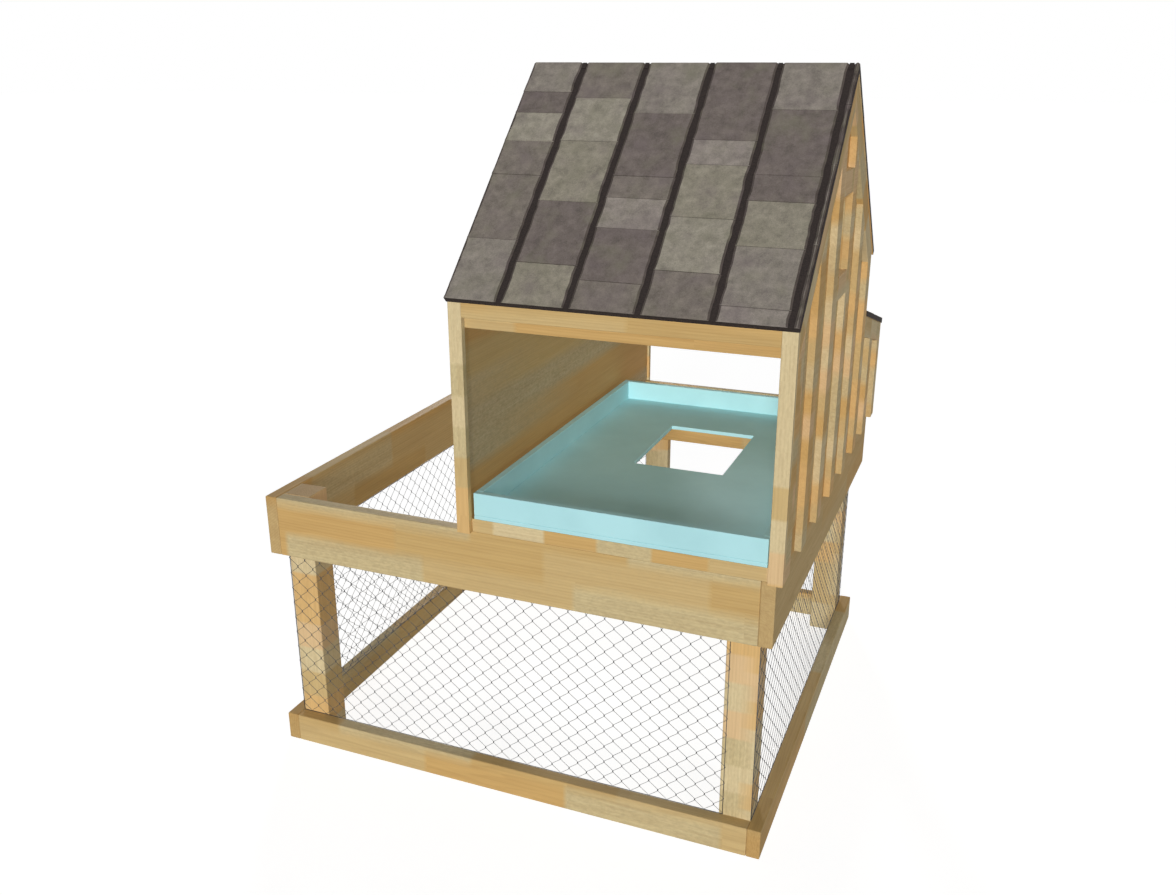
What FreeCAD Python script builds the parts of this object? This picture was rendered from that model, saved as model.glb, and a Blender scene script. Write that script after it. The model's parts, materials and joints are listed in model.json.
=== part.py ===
import FreeCAD, Part
import math
import os

import Sketcher
from FreeCAD import Vector

# Small chicken coop: a lumber frame with a wired run below, a house with a gable roof,
# a nest box with a hinged lid at the rear and a tray that slides out at the front.
# The drawing frame has x to the right, y to the rear and z up, all in millimetres.
# Sizes are laid out from the front left bottom corner of the lower frame, and every
# piece is then shifted so that the origin is the bottom centre of the whole coop.

doc = FreeCAD.newDocument("chicken_coop")

# Driving dimensions

SIZES = {
    # lumber sections
    "stock_thick": 38,
    "rail_height": 89,
    "board_height": 184,
    "post_side": 89,
    "stud_width": 89,
    "trim_thick": 19,
    "batten_width": 64,
    "strip_width": 38,
    "runner_side": 38,
    "ply_thick": 12,
    # lower frame
    "frame_width": 1524,
    "frame_depth": 1464,
    "frame_top": 829,
    "stud_offset": 27,
    # house
    "wall_span": 855,
    "main_depth": 1080,
    "wall_height": 635,
    "rail_drop": 4,
    "window_sill": 672,
    "window_height": 207,
    # roof, its angle in degrees
    "roof_angle": 44.2,
    "roof_overhang": 3,
    "deck_thick": 12,
    "shingle_thick": 8,
    "shingle_first": 153,
    "shingle_pitch": 181.5,
    "groove_width": 12,
    "groove_depth": 4,
    # nest box and lid, its angle in degrees
    "nest_height": 443,
    "lid_angle": 15,
    "lid_gap": 3,
    # lid hinges
    "hinge_width": 76,
    "hinge_inset": 130,
    "leaf_length": 36,
    "leaf_thick": 2,
    "barrel_radius": 5,
    "hinge_gap": 0.5,
    "knuckle_gap": 0.3,
    "pin_radius": 2.5,
    "pin_clearance": 0.05,
    # tray
    "tray_depth": 1186,
    "tray_gap": 6,
    "rim_height": 64,
    "hole_width": 280,
    "hole_depth": 384,
    "hole_front": 543,
    # wire netting
    "wire_pitch": 115,
    "wire_strand": 2.5,
    "wire_lap": 12,
    # screws
    "screw_length": 76,
    "screw_radius": 2.4,
    "screw_head_radius": 4.6,
    "screw_head_height": 4,
    "screw_edge": 24,
    "screw_sink": 3,
}

# Counts of the main wall's battens, of the bays before the vent and of the grooves in the shingles,
# and the height under which a corner lies on its sketch's base line
BATTEN_COUNT = 6
WINDOW_BAY_COUNT = 2
GROOVE_COUNT = 5
ON_THE_LINE = 1e-9

sheet = doc.addObject("Spreadsheet::Sheet", "dims")
for row, (alias, size) in enumerate(SIZES.items(), start=1):
    sheet.set(f"A{row}", alias)
    sheet.set(f"B{row}", str(size))
    sheet.setAlias(f"B{row}", alias)
doc.recompute()


def value(expression):
    """The number that a size expression gives."""
    return float(sheet.evalExpression(str(expression)))


# Planes and lines that several pieces share, as expressions of the sheet

board_bottom = "(dims.frame_top - dims.board_height)"
right_face = "dims.frame_width"
left_face = "(dims.frame_width - dims.wall_span)"
right_inside = f"({right_face} - dims.ply_thick)"
left_inside = f"({left_face} + dims.ply_thick)"
house_left = f"({left_face} - dims.trim_thick)"
house_width = "(dims.wall_span + 2 * dims.trim_thick)"
inside_width = "(dims.wall_span - 2 * dims.ply_thick)"
doorway_width = f"({house_width} - 2 * dims.strip_width)"
batten_pitch = f"((dims.main_depth - dims.batten_width) / {BATTEN_COUNT - 1})"

pitch = "dims.roof_angle"
eave_height = "(dims.frame_top + dims.wall_height)"
ridge_y = "(dims.main_depth / 2)"
roof_run = f"({ridge_y} + dims.trim_thick)"
roof_slant = f"({roof_run} / cos({pitch}))"
ridge_height = f"({eave_height} + {roof_run} * tan({pitch}))"
rake_drop = f"(dims.batten_width / cos({pitch}))"
roof_left = f"({house_left} - dims.roof_overhang)"
roof_width = f"({house_width} + 2 * dims.roof_overhang)"

slope = "dims.lid_angle"
lid_thick = "(dims.deck_thick + dims.shingle_thick)"
nest_top = "(dims.frame_top + dims.nest_height)"
nest_rake_drop = f"(dims.batten_width / cos({slope}))"
tray_bottom_height = "(dims.frame_top + dims.strip_width)"
rim_bottom = f"({tray_bottom_height} + dims.ply_thick)"

# The lid's hinge axis stands clear of the rear panel and of the lid's upper face
barrel_reach = "(dims.barrel_radius + dims.hinge_gap)"
axis_y = f"(dims.main_depth + {barrel_reach})"
axis_height = (
    f"({nest_top} + ({lid_thick} + {barrel_reach}) / cos({slope}) - {barrel_reach} * tan({slope}))"
)
lid_depth_below_axis = f"({barrel_reach} + {lid_thick})"
lid_start_y = f"({axis_y} + dims.lid_gap * cos({slope}) - {lid_depth_below_axis} * sin({slope}))"
lid_start_height = (
    f"({axis_height} - dims.lid_gap * sin({slope}) - {lid_depth_below_axis} * cos({slope}))"
)
lid_rear_y = "(dims.frame_depth + dims.trim_thick + dims.roof_overhang)"
lid_length = f"(({lid_rear_y} - {lid_start_y}) / cos({slope}))"

# Bottom centre of the whole coop: the front eave and the lid's rear edge reach furthest
front_reach = f"(-dims.trim_thick - {lid_thick} * sin({pitch}))"
rear_reach = f"({lid_rear_y} + {lid_thick} * sin({slope}))"
centre_x = f"(({roof_left} + {roof_width}) / 2)"
centre_y = f"(({front_reach} + {rear_reach}) / 2)"


def roof_underside(y):
    """Height of the roof decks' underside at a depth y, on the slope that is lower there."""
    from_front = f"({y} + dims.trim_thick)"
    from_rear = f"(dims.main_depth + dims.trim_thick - {y})"
    return f"({eave_height} + min({from_front}; {from_rear}) * tan({pitch}))"


def lid_underside(y):
    """Height of the nest lid's underside at a depth y."""
    return f"({nest_top} - ({y} - dims.main_depth) * tan({slope}))"


# Ways to make a piece

parts = []


def place(piece, x, y, z, tilt=None):
    """Put a piece's own origin at x, y, z, turned about the x axis by an angle if it is tilted."""
    if tilt is not None:
        piece.Placement = FreeCAD.Placement(Vector(), FreeCAD.Rotation(Vector(1, 0, 0), value(tilt)))
        piece.setExpression("Placement.Rotation.Angle", f"({tilt}) * 1 deg")
    piece.setExpression("Placement.Base.x", f"{x} - {centre_x}")
    piece.setExpression("Placement.Base.y", f"{y} - {centre_y}")
    piece.setExpression("Placement.Base.z", str(z))


def keep(piece, label):
    """Name a piece and put it on the list of finished parts."""
    piece.Label = label
    parts.append(piece)
    return piece


def board(label, x, y, z, length, width, height):
    """A square-cut length of lumber or sheet."""
    piece = doc.addObject("Part::Box", label)
    piece.setExpression("Length", str(length))
    piece.setExpression("Width", str(width))
    piece.setExpression("Height", str(height))
    place(piece, x, y, z)
    return keep(piece, label)


def origin_plane(body, role):
    return next(feature for feature in body.Origin.OriginFeatures if feature.Role == role)


def outline_sketch(body, name, plane, points):
    """A closed outline on one of the body's own planes, each corner tied to its two expressions."""
    sketch = body.newObject("Sketcher::SketchObject", name)
    sketch.AttachmentSupport = (origin_plane(body, plane), [""])
    sketch.MapMode = "FlatFace"
    corners = [Vector(value(u), value(v), 0) for u, v in points]
    for corner, following in zip(corners, corners[1:] + corners[:1]):
        sketch.addGeometry(Part.LineSegment(corner, following), False)
    for index, corner in enumerate(points):
        before = (index - 1) % len(points)
        sketch.addConstraint(Sketcher.Constraint("Coincident", before, 2, index, 1))
        for kind, axis, expression in zip(("DistanceX", "DistanceY"), (-2, -1), corner):
            if str(expression) == "0":
                sketch.addConstraint(Sketcher.Constraint("PointOnObject", index, 1, axis))
                continue
            datum = Sketcher.Constraint(kind, -1, 1, index, 1, value(expression))
            number = sketch.addConstraint(datum)
            sketch.setExpression(f"Constraints[{number}]", expression)
    return sketch


def shaped_board(label, points, thickness, plane="YZ_Plane"):
    """A board sawn to an outline and as thick as its stock."""
    body = doc.addObject("PartDesign::Body", label)
    sketch = outline_sketch(body, f"{label}_outline", plane, points)
    pad = body.newObject("PartDesign::Pad", f"{label}_pad")
    pad.Profile = sketch
    pad.setExpression("Length", str(thickness))
    return body


def cut_window(body, points, plane="YZ_Plane"):
    """Cut a hole right through a shaped board."""
    doc.recompute()
    whole = body.Shape.Volume
    sketch = outline_sketch(body, f"{body.Name}_window", plane, points)
    pocket = body.newObject("PartDesign::Pocket", f"{body.Name}_cut")
    pocket.Profile = sketch
    pocket.Type = "ThroughAll"
    pocket.Reversed = True
    doc.recompute()
    if not body.Shape.Volume < whole:
        raise ValueError(f"{body.Name}: the window cuts nothing")


def group(label, pieces):
    """Separate solids that share one node."""
    together = doc.addObject("Part::Compound", label)
    together.Links = pieces
    return keep(together, label)


def set_shape(label, shape):
    """A piece whose shape is worked out here, shifted to the coop's own origin."""
    piece = doc.addObject("Part::Feature", label)
    piece.Shape = shape
    piece.Placement = FreeCAD.Placement(Vector(-value(centre_x), -value(centre_y), 0), FreeCAD.Rotation())
    return keep(piece, label)


# Lower frame: rails on edge at the ground, posts in the corners, deep boards at the top

def frame_ring(name, height, z):
    """Four boards on edge: the side boards run the full depth, front and back fit between."""
    thick = "dims.stock_thick"
    between = f"(dims.frame_width - 2 * {thick})"
    board(f"{name}_left", 0, 0, z, thick, "dims.frame_depth", height)
    board(f"{name}_right", f"dims.frame_width - {thick}", 0, z, thick, "dims.frame_depth", height)
    board(f"{name}_front", thick, 0, z, between, thick, height)
    board(f"{name}_back", thick, f"dims.frame_depth - {thick}", z, between, thick, height)


frame_ring("base_rail", "dims.rail_height", 0)
frame_ring("frame_board", "dims.board_height", board_bottom)

post_near = "dims.stock_thick"
post_right = "(dims.frame_width - dims.stock_thick - dims.post_side)"
post_back = "(dims.frame_depth - dims.stock_thick - dims.post_side)"
for side, post_x in (("left", post_near), ("right", post_right)):
    for end, post_y in (("front", post_near), ("back", post_back)):
        board(f"post_{end}_{side}", post_x, post_y, 0, "dims.post_side", "dims.post_side", "dims.frame_top")

stud_x = f"({left_face} + dims.stud_offset)"
stud_height = f"({board_bottom} - dims.rail_height)"
back_board_y = "(dims.frame_depth - dims.stock_thick)"
board("rear_stud", stud_x, back_board_y, "dims.rail_height", "dims.stud_width", "dims.stock_thick",
      stud_height)

joist_height = "(dims.frame_top - dims.rail_height)"
joist_length = "(dims.frame_depth - 2 * dims.stock_thick)"
board("house_joist", left_face, "dims.stock_thick", joist_height, "dims.stock_thick", joist_length,
      "dims.rail_height")


# Wire netting in the openings of the lower frame

def diamond(centre, half_along, half_up, along, up):
    """One gap of the netting, a diamond about its centre."""
    tips = [centre + along * half_along, centre + up * half_up,
            centre - along * half_along, centre - up * half_up]
    return Part.Face(Part.makePolygon(tips + tips[:1]))


def wire_panel(label, corner, along, through, length):
    """A diamond net with a border wire, one holed face given the wire's thickness."""
    up = Vector(0, 0, 1)
    strand = value("dims.wire_strand")
    height = value(stud_height)
    columns = round(length / value("dims.wire_pitch"))
    rows = round(height / value("dims.wire_pitch"))
    half_along = length / columns / 2
    half_up = height / rows / 2
    shrink = 1 - strand / 2 * math.hypot(half_along, half_up) / (half_along * half_up)

    def rectangle(inset):
        near = corner + (along + up) * inset
        far_along = along * (length - 2 * inset)
        far_up = up * (height - 2 * inset)
        corners = [near, near + far_along, near + far_along + far_up, near + far_up]
        return Part.Face(Part.makePolygon(corners + corners[:1]))

    inner = rectangle(strand)
    rims = [rectangle(0).OuterWire]
    for column in range(2 * columns + 1):
        for line in range(column % 2, 2 * rows + 1, 2):
            centre = corner + along * (column * half_along) + up * (line * half_up)
            gap = diamond(centre, half_along * shrink, half_up * shrink, along, up).common(inner)
            rims.append(gap.Faces[0].OuterWire)
    net = Part.makeFace(rims, "Part::FaceMakerBullseye")
    set_shape(label, net.extrude(through * strand))


inner_near = value("dims.stock_thick")
inner_right = value("dims.frame_width - dims.stock_thick")
inner_back = value(back_board_y)
base_top = value("dims.rail_height")
to_right = Vector(1, 0, 0)
to_rear = Vector(0, 1, 0)
near_corner = Vector(inner_near, inner_near, base_top)
right_corner = Vector(inner_right, inner_near, base_top)
back_corner = Vector(inner_near, inner_back, base_top)
front_span = value(f"{post_right} + dims.wire_lap") - inner_near
side_span = inner_back - inner_near
back_span = value(stud_x) - inner_near
wire_panel("wire_front", near_corner, to_right, -to_rear, front_span)
wire_panel("wire_left", near_corner, to_rear, -to_right, side_span)
wire_panel("wire_right", right_corner, to_rear, to_right, side_span)
wire_panel("wire_back", back_corner, to_right, to_rear, back_span)


# Side walls: one plywood sheet each, a gable for the house and a lower end for the nest

def above_frame(height):
    return f"({height} - dims.frame_top)"


WALL_OUTLINE = [
    ("0", "0"),
    ("dims.frame_depth", "0"),
    ("dims.frame_depth", above_frame(lid_underside("dims.frame_depth"))),
    ("dims.main_depth", above_frame(lid_underside("dims.main_depth"))),
    ("dims.main_depth", above_frame(roof_underside("dims.main_depth"))),
    (ridge_y, above_frame(ridge_height)),
    ("0", above_frame(roof_underside("0"))),
]
window_start = f"({WINDOW_BAY_COUNT} * {batten_pitch} + dims.batten_width)"
window_end = f"({WINDOW_BAY_COUNT + 1} * {batten_pitch})"
window_top = "(dims.window_sill + dims.window_height)"
WINDOW_OUTLINE = [
    (window_start, "dims.window_sill"),
    (window_end, "dims.window_sill"),
    (window_end, window_top),
    (window_start, window_top),
]

wall_left = shaped_board("wall_left", WALL_OUTLINE, "dims.ply_thick")
place(wall_left, left_face, 0, "dims.frame_top")
keep(wall_left, "wall_left")

wall_right = shaped_board("wall_right", WALL_OUTLINE, "dims.ply_thick")
cut_window(wall_right, WINDOW_OUTLINE)
place(wall_right, right_inside, 0, "dims.frame_top")
keep(wall_right, "wall_right")

window_width = f"({window_end} - {window_start})"
sill_trim_height = "(dims.frame_top + dims.window_sill - dims.batten_width)"
head_trim_height = f"(dims.frame_top + {window_top})"
for name, trim_height in (("vent_sill_trim", sill_trim_height), ("vent_head_trim", head_trim_height)):
    board(name, right_face, window_start, trim_height, "dims.trim_thick", window_width, "dims.batten_width")


# Trim on the side walls: rakes under the roof edges and battens up to them

def sloped_strip(label, start, end, bottom, top, x, base):
    """An upright or raking strip whose ends are plumb and whose edges follow two heights."""
    width = f"({end} - {start})"
    points = [
        ("0", f"({bottom(start)} - {base})"),
        (width, f"({bottom(end)} - {base})"),
        (width, f"({top(end)} - {base})"),
        ("0", f"({top(start)} - {base})"),
    ]
    points = [(u, "0" if abs(value(v)) < ON_THE_LINE else v) for u, v in points]
    strip = shaped_board(label, points, "dims.trim_thick")
    place(strip, x, start, base)
    return strip


def rake_lower_edge(y):
    return f"({roof_underside(y)} - {rake_drop})"


def nest_rake_lower_edge(y):
    return f"({lid_underside(y)} - {nest_rake_drop})"


def deck_level(y):
    return "dims.frame_top"


def side_trim(side, x):
    """Everything nailed to the outside of one plywood wall."""
    rakes = (
        ("front", "0", ridge_y, rake_lower_edge, roof_underside),
        ("rear", ridge_y, "dims.main_depth", rake_lower_edge, roof_underside),
        ("nest", "dims.main_depth", "dims.frame_depth", nest_rake_lower_edge, lid_underside),
    )
    for name, start, end, lower, upper in rakes:
        label = f"rake_trim_{name}_{side}"
        keep(sloped_strip(label, start, end, lower, upper, x, "dims.frame_top"), label)
    battens = []
    for number in range(BATTEN_COUNT):
        start = f"({number} * {batten_pitch})" if number else "0"
        end = f"({number} * {batten_pitch} + dims.batten_width)"
        name = f"batten_{side}_{number + 1}"
        battens.append(sloped_strip(name, start, end, deck_level, rake_lower_edge, x, "dims.frame_top"))
    nest_start = f"({BATTEN_COUNT} * {batten_pitch})"
    nest_end = f"({nest_start} + dims.batten_width)"
    corner_start = "(dims.frame_depth - dims.strip_width)"
    nest_spans = ((nest_start, nest_end), (corner_start, "dims.frame_depth"))
    for number, (start, end) in enumerate(nest_spans, start=BATTEN_COUNT + 1):
        name = f"batten_{side}_{number}"
        upper = nest_rake_lower_edge
        battens.append(sloped_strip(name, start, end, deck_level, upper, x, "dims.frame_top"))
    group(f"wall_battens_{side}", battens)


side_trim("right", right_face)
side_trim("left", house_left)


# Front and rear frames of the house: uprights outside, rails between the walls

def end_frame(name, outer_y, inner_y, rail_y, top):
    """Two uprights, a header trim between them, and a top and a bottom rail behind."""
    base = "dims.frame_top"
    right_upright_x = f"({house_left} + {house_width} - dims.strip_width)"
    points = [
        ("0", "0"),
        ("dims.trim_thick", "0"),
        ("dims.trim_thick", f"({top(inner_y)} - {base})"),
        ("0", f"({top(outer_y)} - {base})"),
    ]
    for side, x in (("left", house_left), ("right", right_upright_x)):
        upright = shaped_board(f"upright_{name}_{side}", points, "dims.strip_width")
        place(upright, x, outer_y, base)
        keep(upright, f"upright_{name}_{side}")
    low_edge = f"min({top(inner_y)}; {top(outer_y)})"
    header_base = f"({low_edge} - dims.strip_width)"
    header_points = [
        ("0", "0"),
        ("dims.trim_thick", "0"),
        ("dims.trim_thick", f"({top(inner_y)} - {header_base})"),
        ("0", f"({top(outer_y)} - {header_base})"),
    ]
    header = shaped_board(f"header_trim_{name}", header_points, doorway_width)
    place(header, f"({house_left} + dims.strip_width)", outer_y, header_base)
    keep(header, f"header_trim_{name}")
    rail_base = f"({low_edge} - dims.rail_drop - dims.batten_width)"
    board(f"top_rail_{name}", left_inside, rail_y, rail_base, inside_width, "dims.trim_thick",
          "dims.batten_width")
    board(f"bottom_rail_{name}", left_inside, rail_y, base, inside_width, "dims.trim_thick",
          "dims.strip_width")


end_frame("front", "(-dims.trim_thick)", "0", "0", roof_underside)
end_frame("back", "dims.frame_depth", "(dims.frame_depth + dims.trim_thick)",
          "(dims.frame_depth - dims.trim_thick)", lid_underside)

panel_y = "(dims.main_depth - dims.ply_thick)"
panel_base = f"({nest_top} - dims.strip_width)"
panel_height = f"({roof_underside('dims.main_depth')} - {panel_base})"
board("rear_panel", left_inside, panel_y, panel_base, inside_width, "dims.ply_thick", panel_height)


# Floor pieces: runners for the tray along both walls, a sunk floor under the nest

runner_length = "(dims.tray_depth - dims.trim_thick)"
for side, runner_x in (("left", left_inside), ("right", f"({right_inside} - dims.runner_side)")):
    board(f"tray_runner_{side}", runner_x, "dims.trim_thick", f"({tray_bottom_height} - dims.runner_side)",
          "dims.runner_side", runner_length, "dims.runner_side")
nest_floor_depth = "(dims.frame_depth - dims.trim_thick - dims.tray_depth)"
board("nest_floor", left_inside, "dims.tray_depth", "dims.frame_top", inside_width, nest_floor_depth,
      "dims.ply_thick")


# Roof: plywood decks and shingles in columns that run from ridge to eave

def cut_grooves(body, length, thickness):
    """The gaps between the columns of shingles, one groove repeated across the slope."""
    doc.recompute()
    whole = body.Shape.Volume
    near = "(dims.shingle_first - dims.groove_width / 2)"
    far = "(dims.shingle_first + dims.groove_width / 2)"
    sketch = outline_sketch(body, f"{body.Name}_groove", "XY_Plane",
                            [(near, "0"), (far, "0"), (far, length), (near, length)])
    sketch.setExpression("AttachmentOffset.Base.z", thickness)
    groove = body.newObject("PartDesign::Pocket", f"{body.Name}_cut")
    groove.Profile = sketch
    groove.setExpression("Length", "dims.groove_depth")
    doc.recompute()
    pattern = body.newObject("PartDesign::LinearPattern", f"{body.Name}_columns")
    pattern.Originals = [groove]
    pattern.Direction = (sketch, ["H_Axis"])
    pattern.Occurrences = GROOVE_COUNT
    pattern.setExpression("Length", f"{GROOVE_COUNT - 1} * dims.shingle_pitch")
    body.Tip = pattern
    doc.recompute()
    one_groove = value(f"dims.groove_width * dims.groove_depth * {length}")
    if round((whole - body.Shape.Volume) / one_groove) != GROOVE_COUNT:
        raise ValueError(f"{body.Name}: the grooves are not all cut")


def roof_layer(label, thickness, offset, grooved):
    """One layer of the roof on both slopes, square at the eave and plumb at the ridge."""
    reach = f"({roof_slant} + {offset} * tan({pitch}))"
    extra = f"({thickness} * tan({pitch}))"
    whole_length = f"({reach} + {extra})"
    front_points = [("0", "0"), (reach, "0"), (whole_length, thickness), ("0", thickness)]
    front = shaped_board(f"{label}_front", front_points, roof_width)
    front_y = f"(-dims.trim_thick - {offset} * sin({pitch}))"
    front_z = f"({eave_height} + {offset} * cos({pitch}))"
    place(front, roof_left, front_y, front_z, pitch)
    rear_points = [(extra, "0"), (whole_length, "0"), (whole_length, thickness), ("0", thickness)]
    rear = shaped_board(f"{label}_rear", rear_points, roof_width)
    rear_shift = f"(({offset} + {thickness}) * tan({pitch}))"
    rear_y = f"({ridge_y} + {offset} * sin({pitch}) - {rear_shift} * cos({pitch}))"
    rear_z = f"({ridge_height} + {offset} * cos({pitch}) + {rear_shift} * sin({pitch}))"
    place(rear, roof_left, rear_y, rear_z, f"-{pitch}")
    for body in (front, rear):
        if grooved:
            cut_grooves(body, whole_length, thickness)
        keep(body, body.Name)


roof_layer("roof_deck", "dims.deck_thick", "0", False)
roof_layer("roof_shingles", "dims.shingle_thick", "dims.deck_thick", True)


# Nest lid: a deck and shingles that swing up together on two butt hinges

def lid_section(thickness):
    return [("0", "0"), (lid_length, "0"), (lid_length, thickness), ("0", thickness)]


nest_lid = shaped_board("nest_lid", lid_section("dims.deck_thick"), roof_width)
place(nest_lid, roof_left, lid_start_y, lid_start_height, f"-{slope}")
keep(nest_lid, "nest_lid")

lid_shingles = shaped_board("nest_lid_shingles", lid_section("dims.shingle_thick"), roof_width)
place(lid_shingles, roof_left, f"({lid_start_y} + dims.deck_thick * sin({slope}))",
      f"({lid_start_height} + dims.deck_thick * cos({slope}))", f"-{slope}")
cut_grooves(lid_shingles, lid_length, "dims.shingle_thick")
keep(lid_shingles, "nest_lid_shingles")


def hinge_leaf(spans, face_height, turn):
    """A leaf with its knuckles about the x axis; before the turn it leads along y, flat at face_height."""
    width = value("dims.hinge_width")
    radius = value("dims.barrel_radius")
    thick = value("dims.leaf_thick")
    bore = value("dims.pin_radius + dims.pin_clearance")
    plate_start = radius + 2 * value("dims.hinge_gap")
    plate_length = value("dims.leaf_length") - plate_start
    leaf = Part.makeBox(width, plate_length, thick, Vector(0, plate_start, face_height))
    for start, end in spans:
        knuckle = Part.makeCylinder(radius, end - start, Vector(start, 0, 0), Vector(1, 0, 0))
        neck = Part.makeBox(end - start, plate_start, thick, Vector(start, 0, face_height))
        leaf = leaf.fuse([knuckle, neck])
    leaf = leaf.cut(Part.makeCylinder(bore, width, Vector(0, 0, 0), Vector(1, 0, 0))).removeSplitter()
    leaf.rotate(Vector(), Vector(1, 0, 0), turn)
    return leaf


def hinges():
    """Two hinges near the lid's ends: leaves on the rear panel, leaves on the lid, and pins."""
    width = value("dims.hinge_width")
    gap = value("dims.knuckle_gap")
    third = width / 3
    wall_spans = [(0, third - gap), (2 * third + gap, width)]
    lid_spans = [(third, 2 * third)]
    inset = value("dims.hinge_inset")
    first = value(house_left) + inset
    last = value(house_left) + value(house_width) - inset - width
    reach = value(barrel_reach)
    wall_leaf = hinge_leaf(wall_spans, reach - value("dims.leaf_thick"), 90)
    lid_leaf = hinge_leaf(lid_spans, -reach, -value(slope))
    pin = Part.makeCylinder(value("dims.pin_radius"), width, Vector(), Vector(1, 0, 0))
    for label, shape in (("lid_hinge_wall_leaves", wall_leaf), ("lid_hinge_lid_leaves", lid_leaf),
                         ("lid_hinge_pins", pin)):
        copies = []
        for x in (first, last):
            at = Vector(x, value(axis_y), value(axis_height))
            copies.append(shape.translated(at))
        set_shape(label, Part.Compound(copies))


hinges()


# Clean-out tray: a plywood bottom with a hole to the run, and rims on top of it

tray_x = f"({house_left} + dims.strip_width + dims.tray_gap)"
tray_width = f"({doorway_width} - 2 * dims.tray_gap)"
hole_start = f"(({tray_width} - dims.hole_width) / 2)"
hole_end = f"({hole_start} + dims.hole_width)"
hole_back = "(dims.hole_front + dims.hole_depth)"
TRAY_OUTLINE = [
    ("0", "0"),
    (tray_width, "0"),
    (tray_width, "dims.tray_depth"),
    ("0", "dims.tray_depth"),
]
HOLE_OUTLINE = [
    (hole_start, "dims.hole_front"),
    (hole_end, "dims.hole_front"),
    (hole_end, hole_back),
    (hole_start, hole_back),
]
tray_bottom = shaped_board("tray_bottom", TRAY_OUTLINE, "dims.ply_thick", "XY_Plane")
cut_window(tray_bottom, HOLE_OUTLINE, "XY_Plane")
place(tray_bottom, tray_x, 0, tray_bottom_height)
keep(tray_bottom, "tray_bottom")

rim = "dims.trim_thick"
rim_height = "dims.rim_height"
rim_between = f"(dims.tray_depth - 2 * {rim})"
board("tray_rim_front", tray_x, 0, rim_bottom, tray_width, rim, rim_height)
board("tray_rim_back", tray_x, f"(dims.tray_depth - {rim})", rim_bottom, tray_width, rim, rim_height)
board("tray_rim_left", tray_x, rim, rim_bottom, rim, rim_between, rim_height)
board("tray_rim_right", f"({tray_x} + {tray_width} - {rim})", rim, rim_bottom, rim, rim_between, rim_height)


# Screws through the side rails and side boards into the ends of the front and back ones

def frame_screws():
    length = value("dims.screw_length")
    head = value("dims.screw_head_height")
    shank_radius = value("dims.screw_radius")
    edge = value("dims.screw_edge")
    sink = value("dims.screw_sink")
    width = value("dims.frame_width")
    cone = Part.makeCone(value("dims.screw_head_radius"), shank_radius, head, Vector(), Vector(1, 0, 0))
    shank = Part.makeCylinder(shank_radius, length - head, Vector(head, 0, 0), Vector(1, 0, 0))
    screw = cone.fuse(shank).removeSplitter()
    mirrored = screw.mirror(Vector(), Vector(1, 0, 0))
    half = value("dims.stock_thick") / 2
    heights = [edge, base_top - edge, value(board_bottom) + edge, value("dims.frame_top") - edge]
    copies = []
    for y in (half, value("dims.frame_depth") - half):
        for z in heights:
            copies.append(screw.translated(Vector(sink, y, z)))
            copies.append(mirrored.translated(Vector(width - sink, y, z)))
    set_shape("frame_screws", Part.Compound(copies))


frame_screws()


# Check every object and every finished shape before anything is written

doc.recompute()
for item in doc.Objects:
    if "Invalid" in item.State or "Error" in item.State:
        raise RuntimeError(f"{item.Name} is in state {item.State}")
for piece in parts:
    if piece.Shape.isNull() or not piece.Shape.isValid():
        raise RuntimeError(f"{piece.Label} has no valid shape")

os.makedirs("parts", exist_ok=True)
for piece in parts:
    piece.Shape.exportStep(f"parts/{piece.Label}.step")
print(f"{len(parts)} parts written")
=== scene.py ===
import json
import math
import random
from collections import namedtuple

import bmesh
import bpy
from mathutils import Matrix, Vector


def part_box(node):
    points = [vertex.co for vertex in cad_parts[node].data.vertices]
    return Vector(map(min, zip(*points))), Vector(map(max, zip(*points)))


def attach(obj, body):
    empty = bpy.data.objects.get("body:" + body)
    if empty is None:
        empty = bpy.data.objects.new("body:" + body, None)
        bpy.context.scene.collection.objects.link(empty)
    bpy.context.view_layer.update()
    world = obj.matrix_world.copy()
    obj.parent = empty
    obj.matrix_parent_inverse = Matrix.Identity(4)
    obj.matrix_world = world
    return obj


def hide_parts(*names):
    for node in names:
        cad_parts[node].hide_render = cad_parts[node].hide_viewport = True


# Small chicken coop: wood, paint, netting and shingles on its solid frame, in metres.
# X runs to the right, Y to the rear and Z up, with the origin under the middle of the coop.

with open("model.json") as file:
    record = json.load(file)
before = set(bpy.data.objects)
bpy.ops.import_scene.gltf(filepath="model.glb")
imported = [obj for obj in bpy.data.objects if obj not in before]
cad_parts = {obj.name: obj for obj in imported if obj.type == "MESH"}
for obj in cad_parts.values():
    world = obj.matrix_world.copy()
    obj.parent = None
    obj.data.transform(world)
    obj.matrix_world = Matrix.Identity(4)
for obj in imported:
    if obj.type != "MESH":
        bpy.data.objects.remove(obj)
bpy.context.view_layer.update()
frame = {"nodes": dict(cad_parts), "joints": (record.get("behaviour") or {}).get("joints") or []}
nodes = frame["nodes"]

MM = 0.001
X_AXIS = Vector((1, 0, 0))
Y_AXIS = Vector((0, 1, 0))
Z_AXIS = Vector((0, 0, 1))
ROOF_PITCH = math.radians(44.2)
LID_SLOPE = math.radians(15)


def srgb(red, green, blue):
    """A display colour of 0 to 255 as the linear colour that a shader takes."""
    channels = []
    for level in (red, green, blue):
        share = level / 255
        channels.append(share / 12.92 if share <= 0.04045 else ((share + 0.055) / 1.055) ** 2.4)
    return (*channels, 1)


# Shader node helpers

MIX_FACTOR, MIX_FIRST, MIX_SECOND = 0, 6, 7
MIX_RESULT = 2


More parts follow.
